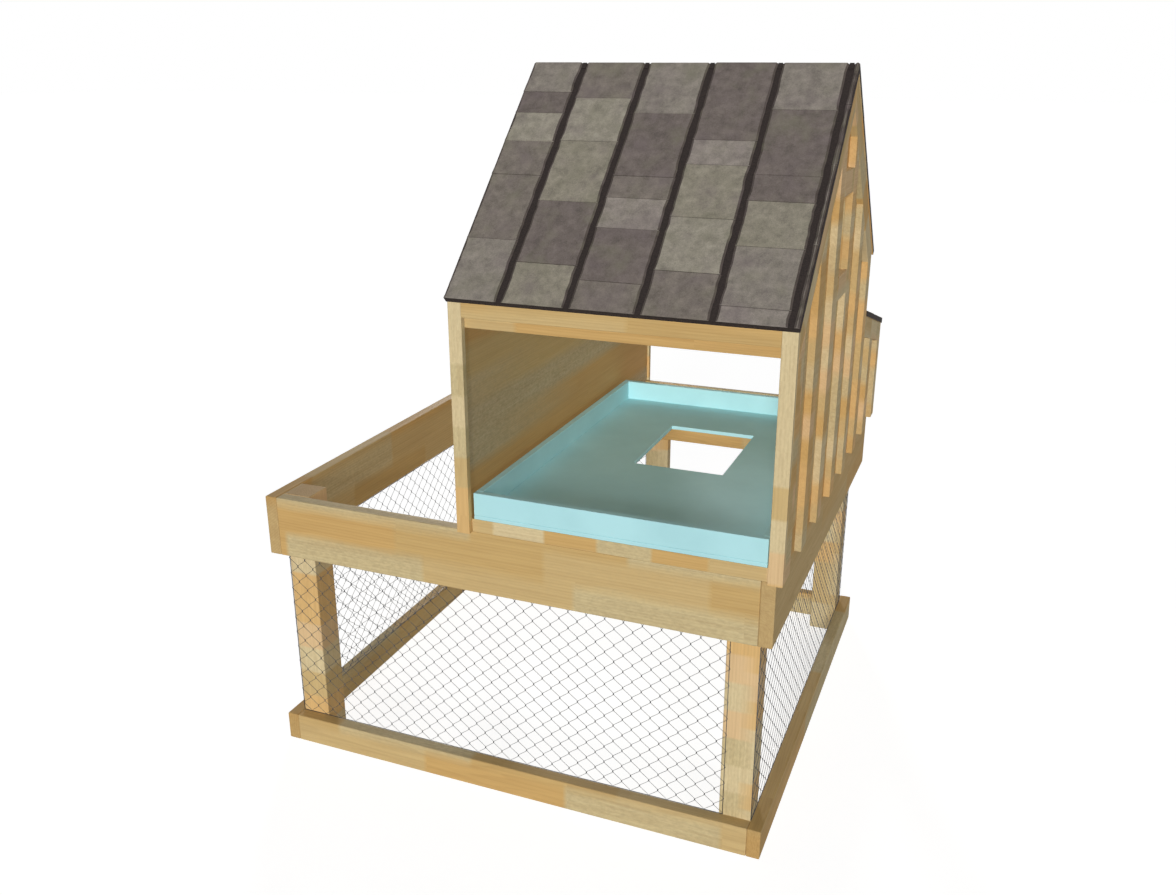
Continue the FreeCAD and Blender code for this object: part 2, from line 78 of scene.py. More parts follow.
def add(tree, kind, inputs=None, **settings):
    """A shader node with its settings, and inputs that are values or links."""
    made = tree.nodes.new("ShaderNode" + kind)
    for name, setting in settings.items():
        setattr(made, name, setting)
    for name, given in (inputs or {}).items():
        if isinstance(given, bpy.types.NodeSocket):
            tree.links.new(given, made.inputs[name])
        else:
            made.inputs[name].default_value = given
    return made


def calc(tree, operation, first, second=0.0):
    return add(tree, "Math", {0: first, 1: second}, operation=operation).outputs[0]


def dot(tree, first, second):
    return add(tree, "VectorMath", {0: first, 1: second}, operation="DOT_PRODUCT").outputs["Value"]


def spread(tree, factor, low, high, to_low=0.0, to_high=1.0):
    """A factor between two values, stretched to another range and held inside it."""
    inputs = {"Value": factor, "From Min": low, "From Max": high, "To Min": to_low, "To Max": to_high}
    return add(tree, "MapRange", inputs).outputs["Result"]


def mix(tree, factor, first, second):
    """A colour between two others."""
    inputs = {MIX_FACTOR: factor, MIX_FIRST: first, MIX_SECOND: second}
    return add(tree, "Mix", inputs, data_type="RGBA").outputs[MIX_RESULT]


def ramp(tree, factor, stops, interpolation="LINEAR"):
    """A colour that follows a factor through stops, each a position and a colour."""
    made = add(tree, "ValToRGB", {"Fac": factor})
    made.color_ramp.interpolation = interpolation
    elements = made.color_ramp.elements
    stops = list(stops)
    while len(elements) < len(stops):
        elements.new(0.5)
    for element, (position, colour) in zip(elements, stops):
        element.position = position
        element.color = colour
    return made.outputs["Color"]


def noise(tree, place, scale, detail, roughness=0.5):
    inputs = {"Vector": place, "Scale": scale, "Detail": detail, "Roughness": roughness}
    return add(tree, "TexNoise", inputs).outputs["Fac"]


def object_place(tree):
    return add(tree, "TexCoord").outputs["Object"]


def new_material(name):
    material = bpy.data.materials.new(name)
    material.use_nodes = True
    tree = material.node_tree
    return material, tree, tree.nodes["Principled BSDF"]


def connect(tree, shader, colour, roughness, height, depth, strength, specular=0.5):
    """Colour, roughness, relief and shine of a surface; depth is the relief in metres."""
    shader.inputs["Specular IOR Level"].default_value = specular
    bump = add(tree, "Bump", {"Height": height, "Distance": depth, "Strength": strength})
    for name, socket in (("Base Color", colour), ("Roughness", roughness), ("Normal", bump.outputs[0])):
        tree.links.new(socket, shader.inputs[name])


# How much bare wood, felt or stone, and matte paint shine

RAW_WOOD_SHINE = 0.12
STONE_SHINE = 0.15
PAINT_SHINE = 0.06


# Wood: boards of glued blocks, each block with its own tint, grain and growth rings

# A block's colour, and how much of the mottled figure it shows
Tint = namedtuple("Tint", "colour figure")
PALE = Tint(srgb(224, 206, 162), 0.25)
TAN = Tint(srgb(209, 182, 128), 0.12)
OLIVE = Tint(srgb(212, 195, 149), 0.45)
ORANGE = Tint(srgb(222, 184, 124), 0.0)
PEACH = Tint(srgb(227, 195, 148), 0.06)
HONEY = Tint(srgb(205, 173, 114), 0.08)
GOLD = Tint(srgb(209, 172, 110), 0.03)
BROWN = Tint(srgb(207, 167, 108), 0.03)
GREY = Tint(srgb(205, 187, 148), 0.65)
FIGURE = srgb(171, 155, 120)
LATE_WOOD = srgb(132, 90, 44)

# Length and height of a block, the share of it that melts into the next one, the tints that blocks
# draw from, and how dark their streaks and rings are
Wood = namedtuple("Wood", "block row feather tints streak rings")
SHORT_TINTS = (PALE, ORANGE, PEACH, PALE, OLIVE, ORANGE, PALE, TAN)
WOOD_STYLES = {
    "long_lumber": Wood(0.46, 0.092, 0.03, (HONEY, TAN, GOLD, HONEY, OLIVE, TAN, GOLD), 0.22, 0.10),
    "short_lumber": Wood(0.085, 0.12, 0.10, SHORT_TINTS, 0.16, 0.08),
    "long_trim": Wood(0.15, 0.064, 0.06, (PEACH, ORANGE, PALE, OLIVE, TAN, GOLD), 0.18, 0.08),
    "ply": Wood(1.30, 0.085, 0.50, (GREY, BROWN, OLIVE, BROWN, TAN), 0.16, 0.08),
}
FIRST_SEED = 127
BLOCK_SWAY = 0.3
BLOCK_SHIFT = 17.0
ROW_FEATHER = 0.4

# Layers of noise: waves per metre along and across the grain, fineness, and an offset for each
Grain = namedtuple("Grain", "along across detail offset")
SWAY_GRAIN = Grain(4, 34, 2, 1.3)
STREAK_GRAIN = Grain(2.2, 95, 4, 3.1)
CLOUD_GRAIN = Grain(2.5, 16, 3, 5.9)
BEND_GRAIN = Grain(1.4, 14, 2, 11.7)
FIBRE_GRAIN = Grain(11, 620, 2, 7.3)
FIGURE_GRAIN = Grain(70, 150, 4, 9.1)
GRAIN_ROUGHNESS = 0.6
STREAK_PART = 0.6
CLOUD_PART = 0.4
FIBRE_SHARE = 0.07
FIBRE_HEIGHT = 0.4
END_GRAIN_SHADE = 0.16
WOOD_RELIEF = 0.25 * MM

RING_WIDTH = 7 * MM
PITH_BEND = 60 * MM
PITH_SHIFT = 170 * MM
PITH_DEPTH = 45 * MM

GROUP_SOCKETS = (
    ("INPUT", "NodeSocketVector", ("Along", "Across", "Through")),
    ("INPUT", "NodeSocketFloat", ("Seed",)),
    ("OUTPUT", "NodeSocketColor", ("Colour",)),
    ("OUTPUT", "NodeSocketFloat", ("Roughness", "Height")),
)

# A block as the shader sees it: the value drawn for it, its tint and its share of figure
Block = namedtuple("Block", "drawn tint figure")


def board_axes(node):
    """The direction of a board's grain, the one across it and the third."""
    low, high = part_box(node)
    size = high - low
    longest = max(range(3), key=lambda axis: size[axis])
    return ((X_AXIS, Z_AXIS, Y_AXIS), (Y_AXIS, Z_AXIS, X_AXIS), (Z_AXIS, X_AXIS, Y_AXIS))[longest]


def tilted_axes(angle):
    """The same for a board that climbs to the rear at an angle."""
    along = Vector((0, math.cos(angle), math.sin(angle)))
    return along, X_AXIS.cross(along), X_AXIS


def melt(tree, factor, first, second):
    """A block that turns into another but keeps the value drawn for it."""
    tint = mix(tree, factor, first.tint, second.tint)
    return Block(first.drawn, tint, mix(tree, factor, first.figure, second.figure))


def block_tints(tree, style, seed, u, v, sway):
    """Rows of blocks at the distances u along and v across the grain."""
    places = [number / len(style.tints) for number in range(len(style.tints))]
    colours = [tint.colour for tint in style.tints]
    shares = [(tint.figure,) * 3 + (1,) for tint in style.tints]

    def block(number, row):
        cell = add(tree, "CombineXYZ", {"X": number, "Y": row, "Z": seed}).outputs[0]
        drawn = add(tree, "TexWhiteNoise", {"Vector": cell}, noise_dimensions="3D").outputs["Value"]
        tint = ramp(tree, drawn, zip(places, colours), "CONSTANT")
        return Block(drawn, tint, ramp(tree, drawn, zip(places, shares), "CONSTANT"))

    def blocks_along(row):
        """One row, where a block's end melts into the next block."""
        shift = add(tree, "TexWhiteNoise", {"W": row}, noise_dimensions="1D").outputs["Value"]
        step = calc(tree, "ADD", calc(tree, "DIVIDE", u, style.block), shift)
        number = calc(tree, "FLOOR", step)
        passed = spread(tree, calc(tree, "FRACT", step), 1 - style.feather, 1.0)
        return melt(tree, passed, block(number, row), block(calc(tree, "ADD", number, 1.0), row))

    level = calc(tree, "ADD", calc(tree, "DIVIDE", v, style.row), sway)
    row = calc(tree, "ADD", calc(tree, "FLOOR", level), seed)
    risen = spread(tree, calc(tree, "FRACT", level), 1 - ROW_FEATHER, 1.0)
    return melt(tree, risen, blocks_along(row), blocks_along(calc(tree, "ADD", row, 1.0)))


def growth_rings(tree, v, w, pick, bend):
    """Late wood of the rings that a sawn face cuts, each sharp on its outer side."""
    pith_shift = calc(tree, "MULTIPLY", pick, PITH_SHIFT)
    from_pith_v = calc(tree, "ADD", calc(tree, "ADD", v, bend), pith_shift)
    from_pith_w = calc(tree, "ADD", calc(tree, "ADD", w, bend), PITH_DEPTH)
    squares = [calc(tree, "POWER", distance, 2.0) for distance in (from_pith_v, from_pith_w)]
    radius = calc(tree, "SQRT", calc(tree, "ADD", *squares))
    ring = calc(tree, "FRACT", calc(tree, "DIVIDE", radius, RING_WIDTH))
    darkening = spread(tree, ring, low=0.3, high=0.9)
    outer_side = spread(tree, ring, low=1.0, high=0.92)
    return calc(tree, "MULTIPLY", darkening, outer_side)


def wood_group(name, style):
    """A node group of jointed softwood, whose blocks and grain follow three given directions."""
    tree = bpy.data.node_groups.new(name, "ShaderNodeTree")
    for way, kind, names in GROUP_SOCKETS:
        for socket in names:
            tree.interface.new_socket(socket, in_out=way, socket_type=kind)
    given = tree.nodes.new("NodeGroupInput").outputs
    seed = given["Seed"]
    texture = add(tree, "TexCoord").outputs
    u, v, w = (dot(tree, texture["Object"], given[axis]) for axis in ("Along", "Across", "Through"))

    def grain(layer, block_shift=0.0):
        """Noise drawn out along the grain, which differs by layer, board and block."""
        scaled = add(tree, "CombineXYZ", {
            "X": calc(tree, "MULTIPLY", u, layer.along),
            "Y": calc(tree, "MULTIPLY", v, layer.across),
            "Z": calc(tree, "MULTIPLY", w, layer.across),
        }).outputs[0]
        shift = add(tree, "CombineXYZ", {
            "X": calc(tree, "ADD", seed, layer.offset),
            "Y": layer.offset,
            "Z": calc(tree, "ADD", seed, block_shift),
        }).outputs[0]
        moved = add(tree, "VectorMath", {0: scaled, 1: shift}).outputs[0]
        return noise(tree, moved, 1.0, layer.detail, GRAIN_ROUGHNESS)

    def around_zero(factor, size):
        return calc(tree, "MULTIPLY", calc(tree, "SUBTRACT", factor, 0.5), size)

    block = block_tints(tree, style, seed, u, v, around_zero(grain(SWAY_GRAIN), BLOCK_SWAY))
    in_block = calc(tree, "MULTIPLY", block.drawn, BLOCK_SHIFT)
    streak = spread(tree, grain(STREAK_GRAIN, in_block), low=0.36, high=0.66)
    cloud = spread(tree, grain(CLOUD_GRAIN, in_block), low=0.32, high=0.70)
    bend = around_zero(grain(BEND_GRAIN, in_block), PITH_BEND)
    late = growth_rings(tree, v, w, block.drawn, bend)
    fibre = spread(tree, grain(FIBRE_GRAIN), low=0.35, high=0.65)
    figure = spread(tree, grain(FIGURE_GRAIN, in_block), low=0.38, high=0.66)
    facing_end = calc(tree, "ABSOLUTE", dot(tree, texture["Normal"], given["Along"]))
    dark = spread(tree, facing_end, low=0.6, high=0.9, to_high=END_GRAIN_SHADE)
    layers = (
        (streak, style.streak * STREAK_PART),
        (cloud, style.streak * CLOUD_PART),
        (late, style.rings),
        (fibre, FIBRE_SHARE),
    )
    for layer, share in layers:
        dark = calc(tree, "ADD", dark, calc(tree, "MULTIPLY", layer, share))
    figured = mix(tree, calc(tree, "MULTIPLY", figure, block.figure), block.tint, FIGURE)
    roughness = spread(tree, dark, low=0.0, high=0.4, to_low=0.58, to_high=0.78)
    height = calc(tree, "SUBTRACT", calc(tree, "MULTIPLY", fibre, FIBRE_HEIGHT), late)
    made = tree.nodes.new("NodeGroupOutput").inputs
    tree.links.new(mix(tree, dark, figured, LATE_WOOD), made["Colour"])
    tree.links.new(roughness, made["Roughness"])
    tree.links.new(height, made["Height"])
    return tree


WOOD_GROUPS = {name: wood_group(name, style) for name, style in WOOD_STYLES.items()}


def wood_pattern(tree, axes, style, seed):
    """Colour, roughness and height of a board of one style with its own directions and seed."""
    inputs = {"Along": axes[0], "Across": axes[1], "Through": axes[2], "Seed": seed}
    made = add(tree, "Group", inputs, node_tree=WOOD_GROUPS[style]).outputs
    return made["Colour"], made["Roughness"], made["Height"]


def wood(name, axes, style, seed):
    material, tree, shader = new_material(name)
    pattern = wood_pattern(tree, axes, style, seed)
    connect(tree, shader, *pattern, depth=WOOD_RELIEF, strength=0.5, specular=RAW_WOOD_SHINE)
    return material


def felted_ply(name, axes, seed, underside):
    """Plywood below, and a dark bituminous skin on the edges and the upper face."""
    material, tree, shader = new_material(name)
    ply = wood_pattern(tree, axes, "ply", seed)[0]
    texture = add(tree, "TexCoord").outputs
    bare = spread(tree, dot(tree, texture["Normal"], underside), low=0.7, high=0.8)
    mottle = noise(tree, texture["Object"], scale=240, detail=4)
    felt = ramp(tree, mottle, [(0.35, srgb(42, 37, 36)), (0.7, srgb(66, 58, 55))])
    roughness = spread(tree, bare, low=0, high=1, to_low=0.85, to_high=0.66)
    colour = mix(tree, bare, felt, ply)
    connect(tree, shader, colour, roughness, mottle, depth=0.3 * MM, strength=0.5, specular=STONE_SHINE)
    return material


# Painted wood of the tray

BRUSH_WAVES = (260, 14, 260)


def tray_paint():
    """Pale blue paint with brush marks along the tray, faint clouds and a few lighter scuffs."""
    material, tree, shader = new_material("tray_paint")
    place = object_place(tree)
    stretched = add(tree, "Mapping", {"Vector": place, "Scale": BRUSH_WAVES}).outputs[0]
    brush = noise(tree, stretched, scale=1.0, detail=3)
    cloud = noise(tree, place, scale=6, detail=5)
    scuff = noise(tree, place, scale=38, detail=8, roughness=0.75)
    tone = ramp(tree, cloud, [(0.35, srgb(173, 219, 223)), (0.65, srgb(181, 227, 231))])
    scuffed = spread(tree, scuff, low=0.62, high=0.76, to_high=0.35)
    tone = mix(tree, scuffed, tone, srgb(197, 226, 226))
    roughness = spread(tree, brush, low=0.3, high=0.7, to_low=0.6, to_high=0.74)
    connect(tree, shader, tone, roughness, brush, depth=0.15 * MM, strength=0.5, specular=PAINT_SHINE)
    return material


# Galvanised wire and plated hardware

METALLIC = 0.7


def metal(name, dark, light, scale, roughness_range):
    """Zinc with crystals of uneven grey, some smoother than others."""
    material, tree, shader = new_material(name)
    shader.inputs["Metallic"].default_value = METALLIC
    place = object_place(tree)
    cells = add(tree, "TexVoronoi", {"Vector": place, "Scale": scale}).outputs["Color"]
    grey = add(tree, "SeparateColor", {"Color": cells}).outputs["Red"]
    colour = ramp(tree, grey, [(0.0, dark), (1.0, light)])
    fine = noise(tree, place, scale=scale * 3, detail=3)
    roughness = spread(tree, grey, 0, 1, *roughness_range)
    connect(tree, shader, colour, roughness, fine, depth=0.04 * MM, strength=0.4)
    return material


WIRE_METAL = metal("galvanised_wire", srgb(58, 59, 61), srgb(92, 93, 95), 260, (0.45, 0.65))
HARDWARE_METAL = metal("plated_steel", srgb(150, 150, 152), srgb(182, 182, 184), 180, (0.32, 0.48))


# Mineral shingles

SHINGLE_TONES = {
    "sand": srgb(148, 142, 129),
    "grey": srgb(137, 130, 121),
    "olive": srgb(141, 135, 121),
    "rose": srgb(143, 135, 127),
    "brown": srgb(123, 115, 107),
    "plum": srgb(113, 104, 99),
}
# A darker tone painted on the tabs' long rims beside the grooves, as painted shade
SHADED_RIM_TONE = srgb(84, 76, 71)
MOSS = srgb(126, 124, 104)
LILAC = srgb(118, 106, 108)
DARK_GRANULE = 0.66
LIGHT_GRANULE = 1.34
GRANULE_SHARE = 0.35
DRIFT_SHARE = 0.65
STAIN_SHARE = 0.4


def scaled_tone(tone, factor):
    return tuple(channel * factor for channel in tone[:3]) + (1,)


def shingle(name, tone):
    """Crushed stone on felt: granules of mixed tones in drifts a few centimetres across."""
    material, tree, shader = new_material("shingle_" + name)
    place = object_place(tree)
    granule = add(tree, "TexVoronoi", {"Vector": place, "Scale": 620}).outputs
    grain = add(tree, "SeparateColor", {"Color": granule["Color"]}).outputs["Red"]
    drift = spread(tree, noise(tree, place, scale=34, detail=6, roughness=0.7), 0.32, 0.68, 0, DRIFT_SHARE)
    stain = noise(tree, place, scale=13, detail=3)
    shade = calc(tree, "ADD", calc(tree, "MULTIPLY", grain, GRANULE_SHARE), drift)
    darker = scaled_tone(tone, DARK_GRANULE)
    lighter = scaled_tone(tone, LIGHT_GRANULE)
    colour = ramp(tree, shade, [(0.08, darker), (0.5, tone), (0.92, lighter)])
    mossy = spread(tree, stain, low=0.52, high=0.72, to_high=STAIN_SHARE)
    purplish = spread(tree, stain, low=0.48, high=0.28, to_high=STAIN_SHARE)
    colour = mix(tree, purplish, mix(tree, mossy, colour, MOSS), LILAC)
    roughness = spread(tree, grain, low=0, high=1, to_low=0.82, to_high=0.95)
    connect(tree, shader, colour, roughness, granule["Distance"], 0.5 * MM, 0.6, STONE_SHINE)
    return material


def bitumen():
    """The dark felt under the granules."""
    material, tree, shader = new_material("bitumen")
    mottle = noise(tree, object_place(tree), scale=300, detail=4)
    colour = ramp(tree, mottle, [(0.3, srgb(38, 33, 32)), (0.7, srgb(60, 52, 49))])
    roughness = spread(tree, mottle, low=0.3, high=0.7, to_low=0.75, to_high=0.9)
    connect(tree, shader, colour, roughness, mottle, depth=0.3 * MM, strength=0.5, specular=STONE_SHINE)
    return material


SHINGLE_BASE = bitumen()
# The tabs' long rims in a darker tone, as painted shade beside the grooves
SHINGLE_SHADED_RIM = shingle("shaded_rim", SHADED_RIM_TONE)
SHINGLE_FACES = {name: shingle(name, tone) for name, tone in SHINGLE_TONES.items()}


# Boards that keep the frame's shape

EDGE_EASE = {"stock": 3.0 * MM, "trim": 1.5 * MM, "sheet": 0.6 * MM}
EASE_SEGMENTS = 2
WELD_DISTANCE = 0.02 * MM
FLAT_ANGLE = math.radians(1)
CORNER_ANGLE = math.radians(30)
RAKES = {"front": ROOF_PITCH, "rear": -ROOF_PITCH, "nest": -LID_SLOPE}
DECKS = {"roof_deck_front": ROOF_PITCH, "roof_deck_rear": -ROOF_PITCH, "nest_lid": -LID_SLOPE}
SHEETS = ("wall_left", "wall_right", "rear_panel", "nest_floor")
PAINTED = ("tray_rim", "tray_bottom")
HEAVY_STOCK = ("base_rail", "frame_board", "post", "rear_stud", "house_joist")
CALM_TRIM = ("header_trim", "top_rail")
HARDWARE = ("lid_hinge_wall_leaves", "lid_hinge_lid_leaves", "lid_hinge_pins", "frame_screws")


def ease_edges(node, radius):
    """Round a board's arrises a little, as planed stock has them."""
    target = nodes[node]
    weld = target.modifiers.new("weld", "WELD")
    weld.merge_threshold = WELD_DISTANCE
    flat = target.modifiers.new("flat_faces", "DECIMATE")
    flat.decimate_type = "DISSOLVE"
    flat.angle_limit = FLAT_ANGLE
    bevel = target.modifiers.new("eased_edges", "BEVEL")
    bevel.width = radius
    bevel.segments = EASE_SEGMENTS
    bevel.limit_method = "ANGLE"
    bevel.angle_limit = CORNER_ANGLE


def put_on(piece, *materials):
    """Take off a piece's first materials, where it has any, and give it others."""
    if piece.data.materials:
        piece.data.materials.clear()
    for material in materials:
        piece.data.materials.append(material)


def board_look(node, seed, paint):
    """The material of a board, and how far its edges are eased."""
    name = "wood_" + node
    if node in DECKS:
        down = Vector((0, math.sin(DECKS[node]), -math.cos(DECKS[node])))
        return felted_ply(name, (X_AXIS, X_AXIS.cross(down), down), seed, down), EDGE_EASE["sheet"]
    if node in SHEETS:
        axes = (Y_AXIS, Z_AXIS, X_AXIS) if node.startswith("wall") else board_axes(node)
        return wood(name, axes, "ply", seed), EDGE_EASE["sheet"]
    if node.startswith(PAINTED):
        return paint, EDGE_EASE["trim"]
    if node.startswith("rake_trim"):
        slope = node.split("_")[2]
        return wood(name, tilted_axes(RAKES[slope]), "long_trim", seed), EDGE_EASE["trim"]
    axes = board_axes(node)
    heavy = node.startswith(HEAVY_STOCK)
    if axes[0] == Z_AXIS:
        style = "short_lumber"
    elif heavy or node.startswith(CALM_TRIM):
        style = "long_lumber"
    else:
        style = "long_trim"
    return wood(name, axes, style, seed), EDGE_EASE["stock" if heavy else "trim"]


def dress_boards():
    """Boards and hardware, each in its own material; the netting and shingles are made anew."""
    paint = tray_paint()
    for seed, node in enumerate(sorted(nodes), FIRST_SEED):
        if node in HARDWARE:
            put_on(nodes[node], HARDWARE_METAL)
        elif not node.startswith("wire") and "shingles" not in node:
            material, ease = board_look(node, seed, paint)
            ease_edges(node, ease)
            put_on(nodes[node], material)


# New pieces

def link(name, mesh, body, slot, *replaced):
    """A piece from a finished mesh, which rides on a body and stands for nodes; slot is not used."""
    data = bpy.data.meshes.new(name)
    mesh.to_mesh(data)
    mesh.free()
    piece = bpy.data.objects.new(name, data)
    bpy.context.scene.collection.objects.link(piece)
    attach(piece, body)
    if replaced:
        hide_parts(*replaced)
    return piece


# Wire netting: zigzag wires that hook into each other, inside a border wire

MESH_WIDTH = 54 * MM
MESH_HEIGHT = 50 * MM
WIRE_RADIUS = 0.65 * MM
KNOT_RADIUS = 1.5 * MM
BORDER_RADIUS = 1.1 * MM
HOOK_HEIGHT = 4 * MM
NET_STANDOFF = 0.2 * MM
WIRE_SIDES = 5

# The axis that each panel runs along
NET_AXES = {"wire_front": 0, "wire_back": 0, "wire_left": 1, "wire_right": 1}


def tube(mesh, points, radii):
    """A round wire along points, with a radius at each, closed at both ends."""
    rings = []
    side = None
    for index, point in enumerate(points):
        before = points[max(index - 1, 0)]
        after = points[min(index + 1, len(points) - 1)]
        ahead = (after - before).normalized()
        if side is None:
            side = ahead.orthogonal().normalized()
        side = (side - ahead * side.dot(ahead)).normalized()
        other = ahead.cross(side)
        ring = []
        for step in range(WIRE_SIDES):
            turn = 2 * math.pi * step / WIRE_SIDES
            spoke = math.cos(turn) * side + math.sin(turn) * other
            ring.append(mesh.verts.new(point + radii[index] * spoke))
        rings.append(ring)
    for lower, upper in zip(rings, rings[1:]):
        for step in range(WIRE_SIDES):
            following = (step + 1) % WIRE_SIDES
            face = mesh.faces.new((lower[step], lower[following], upper[following], upper[step]))
            face.smooth = True
    mesh.faces.new(reversed(rings[0]))
    mesh.faces.new(rings[-1])


def net(node, axis):
    """One panel of netting, which runs along an axis, in the place of its plain net."""
    low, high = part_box(node)
    depth_axis = 1 - axis
    outward = 1 if low[depth_axis] + high[depth_axis] > 0 else -1
    inner = low[depth_axis] if outward > 0 else high[depth_axis]
    plane = inner + outward * (NET_STANDOFF + 2 * WIRE_RADIUS)
    length = high[axis] - low[axis]
    height = high.z - low.z
    columns = round(2 * length / MESH_WIDTH)
    steps = 2 * round(height / MESH_HEIGHT)
    half = length / columns / 2
    rise = height / steps
    hook_run = half / rise * HOOK_HEIGHT

    def at(along, up, depth):
        point = Vector((0, 0, low.z + up))
        point[axis] = low[axis] + along
        point[depth_axis] = plane + outward * depth
        return point

    def zigzag(column):
        """One wire's points and radii: it swings between its neighbours and hooks into them."""
        centre = (2 * column + 1) * half
        points = []
        radii = []
        for step in range(steps + 1):
            at_border = step in (0, steps)
            way = 1 if (step + column) % 2 == 0 else -1
            reach = half - BORDER_RADIUS if at_border else half + WIRE_RADIUS
            near = centre + way * (half - hook_run)
            if step > 0:
                points.append(at(near, step * rise - HOOK_HEIGHT, way * WIRE_RADIUS))
                radii.append(WIRE_RADIUS)
            lift = {0: BORDER_RADIUS, steps: -BORDER_RADIUS}.get(step, 0)
            points.append(at(centre + way * reach, step * rise + lift, 0))
            radii.append(WIRE_RADIUS if at_border else KNOT_RADIUS)
            if step < steps:
                points.append(at(near, step * rise + HOOK_HEIGHT, -way * WIRE_RADIUS))
                radii.append(WIRE_RADIUS)
        return points, radii

    mesh = bmesh.new()
    for column in range(columns):
        tube(mesh, *zigzag(column))
    left, right = BORDER_RADIUS, length - BORDER_RADIUS
    bottom, top = BORDER_RADIUS, height - BORDER_RADIUS
    corners = [at(left, bottom, 0), at(right, bottom, 0), at(right, top, 0), at(left, top, 0)]
    for start, end in zip(corners, corners[1:] + corners[:1]):
        tube(mesh, [start, end], [BORDER_RADIUS] * 2)
    piece = link(node + "_netting", mesh, "coop", "netting", node)
    piece.visible_shadow = False
    put_on(piece, WIRE_METAL)


# Shingles: a dark base sheet and columns of tabs that run from eave to ridge

SHINGLE_THICK = 8 * MM
GROOVE_FIRST = 153 * MM
GROOVE_PITCH = 181.5 * MM
GROOVE_WIDTH = 12 * MM
GROOVE_DEPTH = 4 * MM
GROOVE_COUNT = 5
RIDGE_STOP = 14 * MM
TAB_SEAM = 0.8 * MM
TAB_LAP = 1.0 * MM
TAB_UNEVEN = 0.7 * MM
TAB_LENGTHS = (85 * MM, 215 * MM)
RIM_DROP = 2.2 * MM
END_RIM = 0.8 * MM
SIDE_RIM = 5.0 * MM
EDGE_STEP = 24 * MM
EDGE_RAGGED = 3.0 * MM
EDGE_SET_BACK = 2.0 * MM
SHEET_TOP = SHINGLE_THICK - GROOVE_DEPTH
STOP_TOP = SHINGLE_THICK - TAB_UNEVEN - TAB_LAP

# Places of the materials on a slope: the base, the tabs' rims, painted darker as shade along the slope,
# and the tones that follow them
BASE_PLACE = 0
SHADED_RIM_PLACE = 1
FIRST_TONE_PLACE = 2
ALL_BASE = (BASE_PLACE, BASE_PLACE, BASE_PLACE)

# Lengths in millimetres and tones of the front slope's tabs from the eave up, column by column
TO_RIDGE = 0
FRONT_TABS = (
    ((190, "grey"), (210, "brown"), (115, "brown"), (100, "sand"), (75, "plum"), (TO_RIDGE, "grey")),
    ((125, "olive"), (195, "plum"), (200, "olive"), (150, "sand"), (TO_RIDGE, "brown")),
    ((85, "brown"), (160, "plum"), (95, "rose"), (70, "brown"), (210, "plum"), (TO_RIDGE, "grey")),
    ((130, "brown"), (160, "sand"), (165, "olive"), (80, "rose"), (220, "plum"), (TO_RIDGE, "grey")),
    ((45, "rose"), (170, "grey"), (135, "olive"), (80, "plum"), (210, "plum"), (TO_RIDGE, "grey")),
    ((230, "brown"), (240, "grey"), (190, "plum"), (TO_RIDGE, "brown")),
)

# A roof's node, body and pitch, whether it faces the rear and ends in a ridge, its columns of tabs
# where they are known, and the seed of what is random on it
Roof = namedtuple("Roof", "node body angle to_rear at_ridge columns seed")
ROOFS = (
    Roof("roof_shingles_front", "coop", ROOF_PITCH, False, True, FRONT_TABS, 3),
    Roof("roof_shingles_rear", "coop", ROOF_PITCH, True, True, None, 5),
    Roof("nest_lid_shingles", "lid", LID_SLOPE, True, False, None, 7),
)
Slope = namedtuple("Slope", "corner width up normal length plumb")


def slope_of(roof):
    """Where a roof's shingles lie: the low corner under them, and the ways up it and out of it."""
    low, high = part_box(roof.node)
    sign = -1 if roof.to_rear else 1
    up = Vector((0, sign * math.cos(roof.angle), math.sin(roof.angle)))
    normal = Vector((0, -sign * math.sin(roof.angle), math.cos(roof.angle)))
    eave_y = high.y if roof.to_rear else low.y
    far_y = low.y if roof.to_rear else high.y
    corner = Vector((low.x, eave_y + sign * SHINGLE_THICK * math.sin(roof.angle), low.z))
    length = abs(far_y - corner.y) / math.cos(roof.angle)
    plumb = math.tan(roof.angle) if roof.at_ridge else 0
    return Slope(corner, high.x - low.x, up, normal, length, plumb)


def tab_outline(draw, x_range, s_range, ragged):
    """The points round a tab, each with the way inwards; a ragged tab's long edges are roughly cut."""
    (x0, x1), (s0, s1) = x_range, s_range
    corners = [Vector((x0, s0)), Vector((x1, s0)), Vector((x1, s1)), Vector((x0, s1))]
    inwards = [Vector((0, END_RIM)), Vector((-SIDE_RIM, 0)), Vector((0, -END_RIM)), Vector((SIDE_RIM, 0))]
    outline = []
    for side in range(4):
        start, end = corners[side], corners[(side + 1) % 4]
        here = inwards[side]
        outline.append((start, inwards[side - 1] + here))
        long_edge = side in (1, 3)
        steps = max(1, round((end - start).length / EDGE_STEP)) if ragged and long_edge else 1
        for step in range(1, steps):
            bite = here.normalized() * draw.uniform(0, EDGE_RAGGED)
            outline.append((start.lerp(end, step / steps) + bite, here))
    return outline


